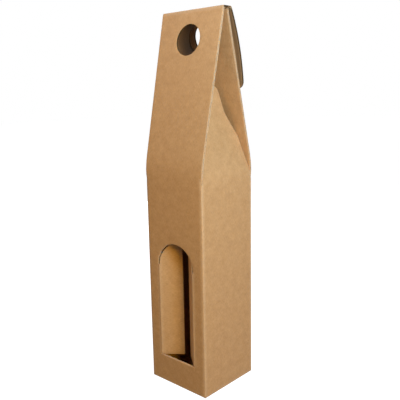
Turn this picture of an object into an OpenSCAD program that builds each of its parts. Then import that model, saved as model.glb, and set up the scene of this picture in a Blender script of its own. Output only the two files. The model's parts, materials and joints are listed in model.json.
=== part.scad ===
// Kraft board carrier for one bottle: a square tube with an arched window low in its
// front, whose front and back lean together into a ridge with a finger hole below it.
// The board is one folded sheet. The closure flap that hangs over the back from the
// ridge and the two flaps of the window swing on their folds, so each is its own piece.
// Origin at the centre of the base, +Z up, front towards -Y, millimetres.

/* [Board] */
// Thickness of the corrugated board
board_t = 2.5; // [1.6:0.1:4]
// Inside radius of the sharp folds
crease_r = 0.5; // [0.2:0.1:3]
// Inside radius of the soft bends where the panels start to lean
bend_r = 40; // [10:1:60]
// Play along the fold of a flap and between two cut edges
cut_gap = 0.4; // [0.3:0.05:0.8]

/* [Body] */
// Outside width across the front
body_w = 85; // [78:1:110]
// Outside depth from front to back
body_d = 85; // [78:1:110]
// Height at which the front and the back start to lean
shoulder_z = 257; // [245:1:290]
// How far below the shoulder the side flaps start to lean
side_fold_drop = 11; // [6:1:20]

/* [Roof] */
// Overall height, at the top of the ridge
ridge_z = 424; // [400:1:470]
// Depth of the ridge from front to back
ridge_d = 14; // [11:0.5:18]
// How much further the sheet reaches at the ridge than at the body, on each side
ridge_flare = 1.7; // [0:0.1:8]
// How far the ridge lies forward of the middle
ridge_lead = -0.5; // [-2:0.5:3]

/* [Side flaps] */
// Length of a side flap above its fold
side_flap_len = 102; // [96:1:118]
// Width of a side flap at its top edge
side_flap_top_w = 27; // [22:1:32]
// Width of a side flap at its neck, below which it widens
side_neck_w = 34.6; // [33:0.2:44]
// Height of that neck above the shoulder
side_neck_rise = 57; // [50:0.5:64]
// Height above the shoulder up to which a side flap keeps close to the back
side_knee_rise = 31; // [20:0.5:40]
// Lean of the side flaps into the box, in degrees
side_flap_lean = 15; // [8:1:18]
// Slit between the foot of a side flap and the front and back
side_slit = 1.2; // [0.8:0.1:3]
// Corner radius at the top of a side flap
side_flap_corner_r = 10; // [2:0.5:12]

/* [Closure flap] */
// Length of the closure flap below the ridge
closure_len = 85; // [70:1:110]
// How much the closure flap narrows towards its lower edge, on each side
closure_taper = 0.7; // [0:0.1:10]
// Corner radius of the closure flap
closure_corner_r = 8; // [2:0.5:20]
// Angle by which the closure flap stands off the back, in degrees
closure_stand = 3; // [1.5:0.5:20]
// Distance of the closure flap's fold from the back's outer face
closure_play = 3.6; // [0.4:0.1:6]

/* [Finger hole] */
// Diameter of the finger hole
finger_hole_d = 34; // [24:0.5:40]
// Distance of the hole's centre below the ridge, along the panel
finger_hole_drop = 32.5; // [28:0.5:50]

/* [Window] */
// Width of the window
window_w = 55; // [40:1:60]
// Height of the window's lower edge
window_foot_z = 32; // [20:1:60]
// Height of the window's straight sides
window_side_h = 111.5; // [60:0.5:130]
// Angle by which the window flaps are folded in, in degrees
window_flap_open = 39; // [10:1:60]

/* [Bottom] */
// Width of the locking edge on the last bottom flap
lock_edge_w = 46; // [30:1:60]
// Distance of the side bottom flaps from the front
bottom_relief = 9; // [2:0.5:15]
// Width of the glued tab inside the back left corner
glue_tab_w = 24; // [12:1:35]

/* [Hidden] */
$fn = 96;
kraft = [0.72, 0.55, 0.37];
kraft_shade = [0.66, 0.49, 0.31];
// How far every cut reaches past the board
overrun = 5;
// Reach of a wedge that cuts a sector from a circle
wedge_share = 1.5;
// Angle of the rounded knuckle at the fold of a flap
knuckle_turn = 120;
// How far inside the window's edge a flap's fold lies, as a share of the board's thickness
knuckle_inset_share = 0.4;
// Number of flats in a bend of a strip
bend_facets = 8;
// Shares of the inside depth that the first, last and side bottom flaps cover
first_flap_share = 0.62;
last_flap_share = 0.56;
lock_step_share = 0.3;
side_bottom_share = 0.34;
// Depth of the seam along the glued corner, and slope of the tab's ends
seam_share = 0.5;
tab_slope_share = 0.5;

// Outer radius of a sharp fold
fold_r = crease_r + board_t;
inner_w = body_w - 2 * board_t;
inner_d = body_d - 2 * board_t;
ridge_w = body_w + 2 * ridge_flare;
closure_tip_w = ridge_w - 2 * closure_taper;
side_fold_z = shoulder_z - side_fold_drop;
// Height up to which the four walls form a closed tube
tube_h = side_fold_z - tangent(side_flap_lean, bend_r);
sheet_span = max(body_w, ridge_w) + overrun;

// The ridge's corners and the closure flap's fold, as [y, z]
ridge_front = [-ridge_d / 2 - ridge_lead, ridge_z];
ridge_back = [ridge_d / 2 - ridge_lead, ridge_z];
closure_fold = ridge_back - [board_t, board_t];
// Where the back's outer face would meet the level of that fold
back_top = closure_fold - [closure_play, 0];
front_rise = ridge_front - [-body_d / 2, shoulder_z];
back_rise = [body_d / 2 - back_top[0], back_top[1] - shoulder_z];
front_lean = atan2(front_rise[0], front_rise[1]);
back_lean = atan2(back_rise[0], back_rise[1]);
// The back ends under the ridge, or below the closure flap's knuckle where that is in its way
knuckle_room = board_t + 2 * cut_gap;
back_drop = closure_play > knuckle_room ? cut_gap : knuckle_room;
back_slope = norm(back_rise) - back_drop / cos(back_lean);
closure_lean = back_lean + closure_stand;
hole_below_fold = finger_hole_drop - board_t;

// The knuckle's centre lies on the board's inner face, inside the window's edge
window_fold_x = window_w / 2 - board_t * knuckle_inset_share;
window_fold_y = -body_d / 2 + board_t;
window_spring_z = window_foot_z + window_side_h;
window_flap_w = window_fold_x - cut_gap / 2;

// Length taken up on either side of a bend's outer corner
function tangent(turn, inside_r) = (inside_r + board_t) * tan(turn / 2);

// A profile in the YZ plane, drawn along X, and one in the XZ plane, drawn along Y
module along_x(span) rotate([90, 0, 90]) linear_extrude(span, center = true) children();
module along_y(span) rotate([90, 0, 0]) linear_extrude(span, center = true) children();

// Part of a disc between two angles
module pie(radius, from, to) {
    reach = radius * wedge_share;
    third = (to - from) / 3;
    intersection() {
        circle(radius);
        polygon(concat([[0, 0]], [for (k = [0 : 3]) reach * [cos(from + k * third), sin(from + k * third)]]));
    }
}

// Direction from the outer face of a strip into the board, for a strip that heads at an angle
function inward(heading) = [sin(heading), -cos(heading)];

// The outer face of a strip seen edge-on, as points with the heading at each. Each step holds
// a straight length, the angle of the bend after it and the inside radius of that bend.
function strip_path(steps, from = [0, 0], heading = 90, i = 0) =
    i == len(steps) ? [] :
    let (
        run_end = from + steps[i][0] * [cos(heading), sin(heading)],
        turn = steps[i][1],
        outer_r = steps[i][2] + board_t,
        centre = run_end + outer_r * inward(heading),
        angles = turn == 0 ? [] : [for (k = [1 : bend_facets]) heading - turn * k / bend_facets],
        arc = [for (angle = angles) [centre - outer_r * inward(angle), angle]],
        next = turn == 0 ? run_end : arc[bend_facets - 1][0]
    )
    concat([[run_end, heading]], arc, strip_path(steps, next, heading - turn, i + 1));

// A strip of board seen edge-on, upwards from the origin, with its outer face at x = 0
module strip(steps) {
    path = concat([[[0, 0], 90]], strip_path(steps));
    last = len(path) - 1;
    outer = [for (stop = path) stop[0]];
    inner = [for (k = [last : -1 : 0]) path[k][0] + board_t * inward(path[k][1])];
    polygon(concat(outer, inner));
}

// A strip that swings on a fold at the origin: it runs along +X with its inner face at
// y = 0, and the fold is a round knuckle on its outer side
module hinged_strip(length) {
    translate([0, -board_t]) square([length, board_t]);
    pie(board_t, 270 - knuckle_turn, 270);
}

module rounded_rect(w, d, r) {
    square([w - 2 * r, d], center = true);
    square([w, d - 2 * r], center = true);
    for (x = [-1, 1], y = [-1, 1])
        translate([x * (w / 2 - r), y * (d / 2 - r)]) circle(r);
}

// Outline of a flap that narrows upwards, with rounded top corners. Each stage holds a width
// and the height at which the flap has it.
module flap_outline(stages, top_w, height, corner_r) {
    last = len(stages) - 1;
    slope = atan2((stages[last][0] - top_w) / 2, height - stages[last][1]);
    corner = 90 + slope;
    set_back = corner_r / tan(corner / 2);
    side_pt = [top_w / 2 + set_back * sin(slope), height - set_back * cos(slope)];
    top_pt = [top_w / 2 - set_back, height];
    right_side = [for (stage = stages) [stage[0] / 2, stage[1]]];
    left_side = [for (k = [last : -1 : 0]) [-stages[k][0] / 2, stages[k][1]]];
    top_side = [side_pt, top_pt, [-top_pt[0], top_pt[1]], [-side_pt[0], side_pt[1]]];
    polygon(concat(right_side, top_side, left_side));
    for (side = [-1, 1])
        translate([side * top_pt[0], height - corner_r]) circle(corner_r);
}

// The four walls as a closed ring. The back left corner is the glued one: the back's cut
// edge shows beside the left wall, with the seam between them.
module wall_ring() {
    difference() {
        union() {
            rounded_rect(body_w, body_d, fold_r);
            translate([-body_w / 2, body_d / 2 - fold_r]) square(fold_r);
        }
        rounded_rect(inner_w, inner_d, crease_r);
        translate([-body_w / 2 - overrun, inner_d / 2 - cut_gap])
            square([overrun + board_t * seam_share, cut_gap]);
    }
}

// What is left of a leaning sheet: its flat width on the tube, and its own width above it
module sheet_outline() {
    flat_w = body_w - 2 * fold_r;
    translate([-flat_w / 2, 0]) square([flat_w, tube_h]);
    polygon([
        [-body_w / 2, tube_h], [body_w / 2, tube_h], [body_w / 2, shoulder_z],
        [ridge_w / 2, ridge_z], [-ridge_w / 2, ridge_z], [-body_w / 2, shoulder_z]
    ]);
}

// The front, up over the shoulder and forward over the ridge to the closure flap's fold
module front_sheet() {
    top_turn = 90 - front_lean;
    shoulder_run = tangent(front_lean, bend_r);
    ridge_run = tangent(top_turn, crease_r);
    intersection() {
        translate([0, -body_d / 2, 0]) along_x(sheet_span) strip([
            [shoulder_z - shoulder_run, front_lean, bend_r],
            [norm(front_rise) - shoulder_run - ridge_run, top_turn, crease_r],
            [closure_fold[0] - ridge_front[0] - ridge_run, 0, crease_r]
        ]);
        along_y(body_d + overrun) sheet_outline();
    }
}

// The back, up over the shoulder to its free edge under the ridge
module back_sheet() {
    shoulder_run = tangent(back_lean, bend_r);
    intersection() {
        mirror([0, 1, 0]) translate([0, -body_d / 2, 0]) along_x(sheet_span) strip([
            [shoulder_z - shoulder_run, back_lean, bend_r],
            [back_slope - shoulder_run, 0, crease_r]
        ]);
        along_y(body_d + overrun) sheet_outline();
    }
}

// The left wall and the flap above it, which leans in between the front and the back
module side_sheet() {
    fold_run = tangent(side_flap_lean, bend_r);
    foot_w = inner_d - 2 * side_slit;
    foot_h = shoulder_z - tangent(back_lean, bend_r) - tube_h;
    knee_w = body_d - 2 * (side_knee_rise * tan(back_lean) + board_t / cos(back_lean) + side_slit);
    knee_h = shoulder_z + side_knee_rise - tube_h;
    neck_h = shoulder_z + side_neck_rise - tube_h;
    stages = [[foot_w, 0], [foot_w, foot_h], [knee_w, knee_h], [side_neck_w, neck_h]];
    rise = fold_run + side_flap_len * cos(side_flap_lean);
    intersection() {
        translate([-body_w / 2, 0, 0]) along_y(body_d) strip([
            [side_fold_z - fold_run, side_flap_lean, bend_r],
            [side_flap_len - fold_run, 0, crease_r]
        ]);
        along_x(body_w + overrun) {
            translate([-inner_d / 2 + crease_r, 0]) square([inner_d - 2 * crease_r, tube_h]);
            translate([0, tube_h]) flap_outline(stages, side_flap_top_w, rise, side_flap_corner_r);
        }
    }
}

// The locked bottom: the first flap lies inside, and the side flaps and the last flap
// close over it from below
module bottom() {
    front_y = -inner_d / 2;
    back_y = inner_d / 2;
    step_y = back_y - inner_d * lock_step_share;
    lock_y = back_y - inner_d * last_flap_share;
    side_reach = inner_w * side_bottom_share;
    translate([-inner_w / 2, front_y, board_t])
        linear_extrude(board_t) square([inner_w, inner_d * first_flap_share]);
    linear_extrude(board_t) polygon([
        [-inner_w / 2, back_y], [-inner_w / 2, step_y], [-lock_edge_w / 2, lock_y],
        [lock_edge_w / 2, lock_y], [inner_w / 2, step_y], [inner_w / 2, back_y]
    ]);
    for (side = [0, 1]) mirror([side, 0, 0])
        linear_extrude(board_t) polygon([
            [-inner_w / 2, front_y + bottom_relief], [side_reach - inner_w / 2, front_y + bottom_relief],
            [side_reach - inner_w / 2, lock_y - side_slit], [-lock_edge_w / 2, lock_y - side_slit],
            [-inner_w / 2, step_y - side_slit]
        ]);
}

// The tab on the left wall's rear edge, glued inside the back
module glue_tab() {
    slope = glue_tab_w * tab_slope_share;
    foot = 2 * board_t + side_slit;
    top = tube_h - side_slit;
    translate([-inner_w / 2, (inner_d - board_t) / 2, 0]) along_y(board_t) polygon([
        [0, foot], [glue_tab_w, foot + slope], [glue_tab_w, top - slope], [0, top]
    ]);
}

// The arched window through the front, with a hollow along each side for the flaps' knuckles
module window_cut() {
    translate([0, -body_d / 2, 0]) along_y(2 * (board_t + overrun)) {
        translate([-window_w / 2, window_foot_z]) square([window_w, window_side_h]);
        translate([0, window_spring_z]) circle(window_w / 2);
    }
    for (side = [-1, 1]) translate([side * window_fold_x, window_fold_y, window_foot_z])
        cylinder(h = window_side_h, r = board_t + cut_gap);
}

// The finger hole square through a panel that leans by an angle, below a point [y, z]
module finger_hole(top, lean, drop) {
    translate([0, top[0], top[1]]) rotate([lean, 0, 0]) translate([0, 0, -drop])
        rotate([90, 0, 0]) cylinder(h = 2 * (board_t + overrun), d = finger_hole_d, center = true);
}

// Rounds the two lower edges that run along an extrusion, at a half width from the middle
module edge_cut(half_w) {
    for (side = [0, 1]) mirror([side, 0]) translate([-half_w, 0]) difference() {
        translate([-overrun, -overrun]) square(overrun + fold_r);
        translate([fold_r, fold_r]) circle(fold_r);
    }
}

module carton() {
    color(kraft) difference() {
        union() {
            linear_extrude(tube_h) wall_ring();
            front_sheet();
            back_sheet();
            for (side = [0, 1]) mirror([side, 0, 0]) side_sheet();
            bottom();
            glue_tab();
        }
        window_cut();
        finger_hole(ridge_front, -front_lean, finger_hole_drop);
        finger_hole(back_top, back_lean, hole_below_fold);
        translate([0, closure_fold[0], closure_fold[1]])
            along_x(sheet_span) circle(board_t + cut_gap);
        along_x(body_w + overrun) edge_cut(body_d / 2);
        along_y(body_d + overrun) edge_cut(body_w / 2);
    }
}

// Hangs from the ridge's rear fold, outside the back, and stands off it by a small angle
module closure_flap() {
    color(kraft_shade)
    translate([0, closure_fold[0], closure_fold[1]]) rotate([closure_lean, 0, 0]) difference() {
        intersection() {
            along_x(ridge_w) rotate(-90) mirror([0, 1]) hinged_strip(closure_len);
            along_y(2 * (board_t + overrun)) {
                mirror([0, 1]) flap_outline([[ridge_w, 0]], closure_tip_w, closure_len, closure_corner_r);
                translate([-ridge_w / 2, 0]) square([ridge_w, board_t]);
            }
        }
        finger_hole([0, 0], 0, hole_below_fold);
    }
}

// The left flap of the window, made closed in the front's plane and folded in on its knuckle
module window_flap() {
    arch_r = window_w / 2 - cut_gap;
    side_h = window_side_h - 2 * cut_gap;
    translate([-window_fold_x, window_fold_y, 0]) rotate([0, 0, window_flap_open]) intersection() {
        translate([0, 0, window_foot_z + cut_gap])
            linear_extrude(side_h + arch_r) hinged_strip(window_flap_w);
        along_y(2 * (board_t + overrun)) {
            translate([-overrun, window_foot_z + cut_gap])
                square([overrun + window_flap_w, side_h]);
            translate([window_fold_x, window_spring_z]) circle(arch_r);
        }
    }
}

module left_window_flap() color(kraft_shade) window_flap();
module right_window_flap() color(kraft_shade) mirror([1, 0, 0]) window_flap();

carton();
closure_flap();
left_window_flap();
right_window_flap();
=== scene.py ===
# %% [markdown]
# # A carrier box for one bottle, folded from a single sheet of board
#
# The real box starts as a flat blank: corrugated kraft board, die-cut to an outline, creased and
# folded. This lesson follows the maker. Each panel is drawn flat, filled with triangles and then
# folded into place by a formula, so that folds are round where board is round, cut edges show the
# flutes between the two liners, and the paper's grain runs along the sheet as it does on a real one.

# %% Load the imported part
import json
import math

import bpy
import numpy as np
from mathutils import Matrix, Vector
from mathutils.geometry import delaunay_2d_cdt


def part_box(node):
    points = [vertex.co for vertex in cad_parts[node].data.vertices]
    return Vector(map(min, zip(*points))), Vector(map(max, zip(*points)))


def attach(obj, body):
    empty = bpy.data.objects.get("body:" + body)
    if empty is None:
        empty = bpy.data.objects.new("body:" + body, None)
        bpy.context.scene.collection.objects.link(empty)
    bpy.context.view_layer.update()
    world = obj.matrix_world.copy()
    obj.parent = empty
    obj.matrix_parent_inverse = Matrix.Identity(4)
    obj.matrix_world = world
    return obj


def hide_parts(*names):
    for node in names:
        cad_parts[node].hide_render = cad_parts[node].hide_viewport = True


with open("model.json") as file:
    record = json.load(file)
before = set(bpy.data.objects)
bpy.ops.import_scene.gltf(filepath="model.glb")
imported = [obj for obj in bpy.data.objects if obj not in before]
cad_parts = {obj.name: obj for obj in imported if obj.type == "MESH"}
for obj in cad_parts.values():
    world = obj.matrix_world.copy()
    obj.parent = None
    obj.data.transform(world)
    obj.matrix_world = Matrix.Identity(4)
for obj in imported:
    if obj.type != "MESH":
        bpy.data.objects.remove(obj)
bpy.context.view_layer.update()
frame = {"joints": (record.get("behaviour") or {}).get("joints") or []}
MM = 0.001

# %% [markdown]
# ## Measures
#
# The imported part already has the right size, so the lesson reads what it can from it: the overall
# box and the fold lines of the three flaps that swing. The rest are the maker's own numbers, in
# millimetres. Everything that is drawn later is worked out from these values.

# %% The driving sizes
low, high = (np.array(corner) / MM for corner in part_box("carton"))
fold_axis = {joint["child"]: np.array(joint["pos_m"]) / MM for joint in frame["joints"]}

BOARD = 2.5  # thickness of the board
FOLD_R = 1.3  # outer radius of a sharp fold
BODY = high[1] - low[1]  # outer width of the square tube
HALF = BODY / 2
RIDGE_Z = high[2]  # height of the ridge
RIDGE_HALF = high[0]  # half of its length
SHOULDER_Z = 257.0  # where the front and back start to lean
SIDE_FOLD_Z = 246.0  # where the side flaps start to lean
TUBE_H = 240.4  # the four walls are joined up to here
FLAT = HALF - FOLD_R  # half of a wall's flat width
QUARTER = FOLD_R * math.pi / 2  # length of a quarter fold along the outer face
CORNER = FLAT + QUARTER / 2  # half of a wall's width, to the middle of its corner folds
RIDGE_FRONT = -6.5  # y of the ridge's front corner
closure_y, closure_z = fold_axis["closure_flap"][1:]
window_x = fold_axis["right_window_flap"][0]
print(f"body {BODY:.0f} mm square, {RIDGE_Z:.0f} mm high, window folds at x = +-{window_x:.1f} mm")

# %% [markdown]
# ## A sheet seen edge-on
#
# From the side, a panel is a path: a straight run, a bend, another run. Such a path can be written as
# a list of lengths and turns. Any point on the sheet is then found from its distance along the path,
# and the direction into the board comes with it. A modifier could bend a flat grid too, but a formula
# keeps every fold exactly where the crease is, and both faces of the board use the same one.

# %% The path of a folded panel
STRAIGHT = 1e-9  # a run that bends less than this for each mm is straight
TURN_STEP = math.radians(11)  # a bend gets a row of points at least this often


class SheetPath:
    """The outer face of a panel seen edge-on: how far inside the wall's plane it is, and how high."""

    def __init__(self, runs, level, wall_from):
        """runs holds (length, turn in degrees), from the foot up; level is the foot's height."""
        self.starts, self.points, self.headings, self.bends = [], [], [], []
        self.lengths = [length for length, turn in runs]
        at, heading, place = 0.0, math.pi, np.array([0.0, level])
        for length, turn in runs:
            bend = math.radians(turn) / length
            self.starts.append(at)
            self.points.append(place)
            self.headings.append(heading)
            self.bends.append(bend)
            place, heading = self._step(place, heading, bend, length)
            at += length
        self.end = at
        shift = self.points[wall_from]
        lift = shift[1] - self.starts[wall_from]
        self.points = np.array(self.points) - [shift[0], 0.0]
        self.starts = np.array(self.starts) + lift
        self.headings, self.bends = np.array(self.headings), np.array(self.bends)
        self.foot, self.top = self.starts[0], self.end + lift

    @staticmethod
    def _step(place, heading, bend, s):
        if abs(bend) < STRAIGHT:
            return place + s * np.array([math.cos(heading), math.sin(heading)]), heading
        turned = heading - bend * s
        change = np.array([math.sin(heading) - math.sin(turned), math.cos(turned) - math.cos(heading)])
        return place + change / bend, turned

    def at(self, v):
        """Inset, height, and the direction into the board, at distances v along the sheet."""
        k = np.clip(np.searchsorted(self.starts, v, side="right") - 1, 0, len(self.starts) - 1)
        s, bend, heading = v - self.starts[k], self.bends[k], self.headings[k]
        turned = heading - bend * s
        straight = np.abs(bend) < STRAIGHT
        safe = np.where(straight, 1.0, bend)
        run = np.where(straight, s * np.cos(heading), (np.sin(heading) - np.sin(turned)) / safe)
        rise = np.where(straight, s * np.sin(heading), (np.cos(turned) - np.cos(heading)) / safe)
        return self.points[k, 0] + run, self.points[k, 1] + rise, np.sin(turned), -np.cos(turned)

    def rows(self, step):
        """Distances at which the sheet gets a row of points: closer together in a bend."""
        made = [self.foot]
        for start, length, bend in zip(self.starts, self.lengths, self.bends):
            count = max(1, math.ceil(length / step), math.ceil(abs(bend) * length / TURN_STEP))
            made += [start + length * (k + 1) / count for k in range(count)]
        return np.array(made)


def tangent(turn, radius):
    """Length that a bend takes up on each side of its corner."""
    return radius * math.tan(math.radians(turn) / 2)


print(f"a square fold uses {QUARTER:.2f} mm of sheet, a sharp corner would use {2 * FOLD_R:.2f} mm")

# %% [markdown]
# ## The four panels, edge-on
#
# Each wall starts as a bottom flap, turns up round the lower edge, runs up the wall and leans in at
# the shoulder. The shoulder isn't a sharp crease: the board is scored and bends over some distance.
# The front goes on over the ridge. Its bottom flap lies above the others, so it steps up by one board.
# Each panel could be modelled by hand, but as a list of runs it is changed in one place.

# %% Paths of the front, back and sides
SHOULDER_R = 110.0  # the soft bend of front and back
SIDE_R = 70.0  # the soft bend of the side flaps
FIRST_FLAP = 49.6  # depth of the inner bottom flap, from the inner face of the front
LAST_FLAP = 44.8  # depth of the outer bottom flap
SIDE_FLAP = 27.2  # depth of the two side bottom flaps
SIDE_LEN = 102.0  # length of a side flap above its fold
SIDE_LEAN = 15.0  # degrees that a side flap leans in
STEP_TURN = 35.0  # degrees at which the inner bottom flap steps up
STEP_START = 1.0  # flat run between the lower fold and that step
LIP = 0.25  # how close the outer liner comes to a hinged flap's fold line
GAP = 0.4  # play at the cut lines
STAND = 3.6  # distance of the closure flap's fold from the back

front_rise = np.array([RIDGE_FRONT + HALF, RIDGE_Z - SHOULDER_Z])
back_rise = np.array([HALF - closure_y + STAND, closure_z - SHOULDER_Z])
front_lean = math.degrees(math.atan2(*front_rise))
back_lean = math.degrees(math.atan2(*back_rise))
step_r = BOARD / 2 / (1 - math.cos(math.radians(STEP_TURN)))
step_run = step_r * math.radians(STEP_TURN)
step_reach = 2 * step_r * math.sin(math.radians(STEP_TURN))


def wall_run(z, lean, radius):
    """The wall between the lower fold and the start of a lean, and the lean itself."""
    return [(z - FOLD_R - tangent(lean, radius), 0), (radius * math.radians(lean), lean)]


ridge_turn = 90 - front_lean
roof_run = np.linalg.norm(front_rise) - tangent(front_lean, SHOULDER_R) - tangent(ridge_turn, FOLD_R)
ridge_run = closure_y - LIP - RIDGE_FRONT - tangent(ridge_turn, FOLD_R)
back_run = np.linalg.norm(back_rise) - tangent(back_lean, SHOULDER_R) - GAP
first_run = FIRST_FLAP + BOARD - FOLD_R - STEP_START - step_reach
lower_fold = [(QUARTER, 90)]

front_path = SheetPath(
    [(first_run, 0), (step_run, -STEP_TURN), (step_run, STEP_TURN), (STEP_START, 0)] + lower_fold
    + wall_run(SHOULDER_Z, front_lean, SHOULDER_R)
    + [(roof_run, 0), (FOLD_R * math.radians(ridge_turn), ridge_turn), (ridge_run, 0)],
    level=BOARD, wall_from=5)
back_path = SheetPath(
    [(LAST_FLAP + BOARD - FOLD_R, 0)] + lower_fold
    + wall_run(SHOULDER_Z, back_lean, SHOULDER_R) + [(back_run, 0)], level=0.0, wall_from=2)
side_path = SheetPath(
    [(SIDE_FLAP + BOARD - FOLD_R, 0)] + lower_fold
    + wall_run(SIDE_FOLD_Z, SIDE_LEAN, SIDE_R) + [(SIDE_LEN - tangent(SIDE_LEAN, SIDE_R), 0)],
    level=0.0, wall_from=2)
for name, path in {"front": front_path, "back": back_path, "side": side_path}.items():
    print(f"{name}: sheet from {path.foot:.1f} to {path.top:.1f} mm")
print(f"the front leans back by {front_lean:.1f} degrees, and the back leans forward by {back_lean:.1f}")

# %% [markdown]
# ## Wear
# ## Wear and painted shade
# Board pales where it was creased, because the paper's fibres break and stand up. Each point of the
# blank gets a number for that: one on a crease, falling to nothing a few millimetres away. A mesh
# attribute carries it to the material, which is simpler than painting it and works from every side.
# A second number paints shade: round the finger hole and along the closure flap's side edges the
# inner face is darkened, as painted shade where little light reaches.

# %% Worn creases and painted shade
WEAR_REACH = 1.8  # distance over which the wear of a crease fades
SHADE_REACH = 31.0  # radius of the painted shade round a finger hole
EDGE_SHADE_FADE = 5.0  # width over which the painted shade along an edge fades in
FAR = 99.0  # at this distance nothing is worn


def smooth(x):
    """A soft step from 0 to 1."""
    x = np.clip(x, 0.0, 1.0)
    return x * x * (3 - 2 * x)


def alike(*values):
    """The values as arrays of one shape."""
    return np.broadcast_arrays(*(np.asarray(value, float) for value in values))


class Surface:
    """Where a piece of board is creased, hinged and darkened by painted shade, at p across it and v along it.
    """

    creases = hinges = ()
    hole_v = grip_edge = np.inf  # no finger hole, and no edge with painted shade
    # where the painted shade is centred across the board, and how strong it is
    grip_p, soiling = 0.0, 1.0

    def wear(self, p, v):
        """One on a crease line, nothing a few millimetres off it."""
        away = np.full(np.shape(p), FAR)
        for axis, at, start, end in self.creases:
            here, other = (p, v) if axis == "p" else (v, p)
            within = (other > start) & (other < end)
            away = np.minimum(away, np.where(within, np.abs(here - at), FAR))
        return np.exp(-(away / WEAR_REACH) ** 2)

    def painted_shade(self, p, v):
        """Painted shade round the finger hole and along a shaded edge, nothing further off."""
        hole = np.exp(-(np.hypot(p - self.grip_p, v - self.hole_v) / SHADE_REACH) ** 4)
        edge = smooth((np.abs(p) - self.grip_edge) / EDGE_SHADE_FADE)
        return self.soiling * np.maximum(hole, edge)


print(f"wear is down to {math.exp(-4):.3f} at {2 * WEAR_REACH:.1f} mm from a crease")

# %% [markdown]
# ## A panel in space
#
# A panel knows its path and what happens at its two upright edges: a corner fold that it shares with
# its neighbour, a glued tab that turns inside, or a plain cut. Corner folds let go above the tube,
# where the die cuts the panels apart and the board springs flat. At the very bottom the lower fold
# fades out towards the corners, where two folds meet. A little bow keeps the walls from looking ruled.
# A bend modifier does one fold at a time. A formula does them all, and the same for every point.

# %% Fold a panel: from blank coordinates to space
LET_GO = 9.0  # height over which a corner fold opens out above the tube
BOW = 0.45  # how far a wall bows in at its middle
BOW_FOOT, BOW_RISE = 6.0, 50.0  # the bow starts this far up and grows over this length
BOW_TOP, BOW_FALL = 20.0, 60.0  # it ends this far below the top edge and fades over this length
SWELL, SWELL_LEN = 0.35, 46.0  # share of a slow wave up the wall, and mm for a radian of it
DRIFT, DRIFT_ACROSS, DRIFT_UP = 0.2, 17.0, 90.0  # and the same for a slanting one
FADE_IN = 0.2  # the lower fold starts to fade this far inside a corner fold
LEAST_HOLD = 1e-5  # keeps the radius of a fold that has let go from being endless


class Panel(Surface):
    """One column of the blank: p runs across it to the right as seen from outside, v up the sheet."""

    def __init__(self, path, turn, column, ends=("fold", "fold"), flat=(FLAT, FLAT)):
        self.path, self.turn, self.column, self.ends, self.flat = path, turn, column, ends, flat

    def fold(self, p, v, h):
        """Where points h inside the outer face lie, as rows of x, y, z in millimetres."""
        p, v, h = alike(p, v, h)
        inset, z, n_in, n_up = self.path.at(v)
        right = p > 0
        flat = np.where(right, self.flat[1], self.flat[0])
        kind = np.where(right, self.ends[1], self.ends[0])
        over = np.maximum(np.abs(p) - flat, 0.0)
        hold = np.where(kind == "cut", 0.0, 1 - smooth((v - TUBE_H) / LET_GO))
        radius = FOLD_R / np.maximum(hold, LEAST_HOLD)
        most = np.where(kind == "tab", math.pi / 2, math.pi)
        angle = np.minimum(over / radius, most)
        rest = over - angle * radius
        across = np.minimum(np.abs(p), flat) + (radius - h) * np.sin(angle) + rest * np.cos(angle)
        depth = radius - (radius - h) * np.cos(angle) + rest * np.sin(angle)
        near = 1 - smooth((np.abs(p) - flat + FADE_IN) / (CORNER - FLAT + FADE_IN)) * (kind == "fold")
        low_end = v < FOLD_R
        tilt = np.arctan2(n_up, n_in)
        tilt = np.where(low_end, tilt * near, tilt)
        inset = np.where(low_end, inset - (1 - near) * np.minimum(inset, FOLD_R), inset)
        depth = depth + self.bow(p, v)
        x = across * np.sign(p)
        y = inset + depth * np.cos(tilt) - HALF
        z = z + depth * np.sin(tilt)
        c, s = math.cos(math.radians(self.turn)), math.sin(math.radians(self.turn))
        return np.stack([c * x - s * y, s * x + c * y, z], axis=-1)

    def bow(self, p, v):
        """Slow unevenness of the wall, nothing at its edges."""
        span = np.clip(1 - (p / FLAT) ** 2, 0, 1)
        rise = smooth((v - BOW_FOOT) / BOW_RISE) * smooth((self.path.top - BOW_TOP - v) / BOW_FALL)
        swell = 1 - SWELL + SWELL * np.sin(v / SWELL_LEN + self.turn)
        drift = DRIFT * np.sin(p / DRIFT_ACROSS + v / DRIFT_UP)
        return BOW * span * rise * (swell + drift)


COLUMN = 2 * CORNER  # width of a wall on the blank
TAB_PLAY = 0.1  # room between the glued tab and the back
TAB_FLAT = HALF - BOARD - FOLD_R - TAB_PLAY
front = Panel(front_path, 0, 0)
right = Panel(side_path, 90, COLUMN)
back = Panel(back_path, 180, 2 * COLUMN, ends=("fold", "cut"), flat=(FLAT, HALF))
left = Panel(side_path, 270, -COLUMN, ends=("tab", "fold"), flat=(TAB_FLAT, FLAT))
print("front's middle at mid height, in mm:", front.fold(0.0, 120.0, 0.0).round(2))

# %% [markdown]
# ## Outlines of the blank
#
# A die cuts the outline with straight rules and round punches, so an outline here is a chain of lines
# and arcs. Each stretch also says what its edge is: a cut, a join to the next panel, or the place
# where a flap is hinged. Outlines run anticlockwise with the board on their left, and holes clockwise.
# Curve objects could hold the outlines too, but lists of points are easier to label and to fill.

# %% Lines and arcs with a label
STEP = 2.4  # spacing of points along an outline


def line(a, b, kind="cut"):
    """Points from a up to, but not with, b, each with the kind of edge that starts there."""
    a, b = np.array(a, float), np.array(b, float)
    count = max(1, math.ceil(np.linalg.norm(b - a) / STEP))
    return [(tuple(a + (b - a) * k / count), kind) for k in range(count)]


def arc(centre, radius, start, end, kind="cut"):
    """Points on an arc between two angles in degrees, the end left out."""
    count = max(2, math.ceil(abs(math.radians(end - start)) * radius / STEP))
    angles = [math.radians(start + (end - start) * k / count) for k in range(count)]
    return [((centre[0] + radius * math.cos(t), centre[1] + radius * math.sin(t)), kind) for t in angles]


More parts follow.
